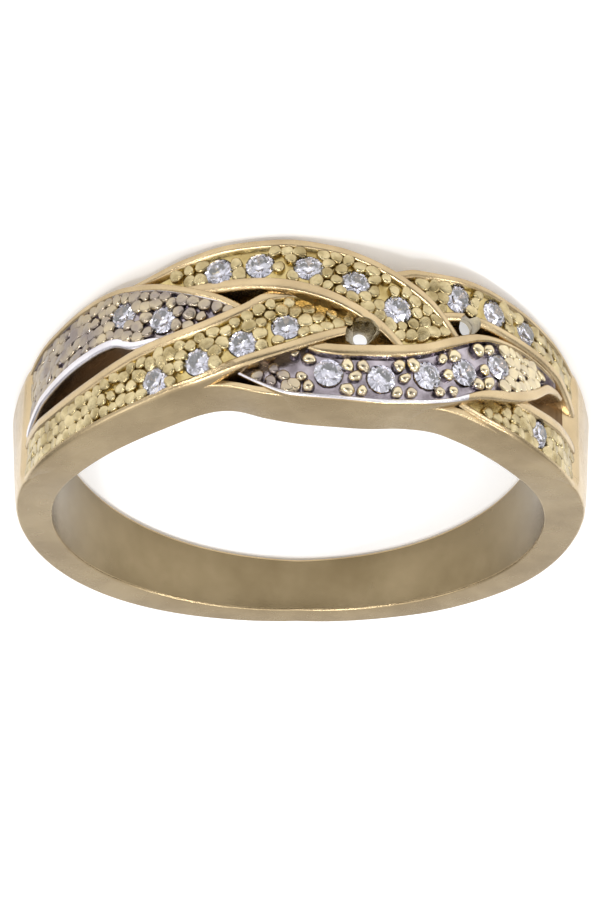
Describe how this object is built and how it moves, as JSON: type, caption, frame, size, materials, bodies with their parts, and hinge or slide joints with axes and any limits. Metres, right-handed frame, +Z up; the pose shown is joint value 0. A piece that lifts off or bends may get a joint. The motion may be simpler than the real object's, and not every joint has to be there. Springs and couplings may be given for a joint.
{
  "type": "braided band ring",
  "caption": "Finger ring whose band widens into a braid of bead set strands between polished rails, with round diamonds, lying on its side.",
  "frame": {"origin": "centre of the bounding box at the surface that the ring lies on", "axes": "+Z up from the surface, -Y from the finger bore towards the braid, +X to the left of a viewer who faces the braid"},
  "size_m": [0.0205, 0.0208, 0.0061],
  "materials": {
    "gold": "polished yellow gold, worn",
    "diamond": "cut and polished"
  },
  "bodies": {
    "root": {"band": "gold", "diamond_rising_1": "diamond", "diamond_rising_2": "diamond", "diamond_rising_3": "diamond", "diamond_rising_4": "diamond", "diamond_rising_5": "diamond", "diamond_rising_6": "diamond", "diamond_rising_7": "diamond", "diamond_white_1": "diamond", "diamond_white_2": "diamond", "diamond_white_3": "diamond", "diamond_white_4": "diamond", "diamond_white_5": "diamond", "diamond_white_6": "diamond", "diamond_white_7": "diamond", "diamond_falling_1": "diamond", "diamond_falling_2": "diamond", "diamond_falling_3": "diamond", "diamond_falling_4": "diamond", "diamond_falling_5": "diamond", "diamond_falling_6": "diamond"}
  },
  "joints": []
}
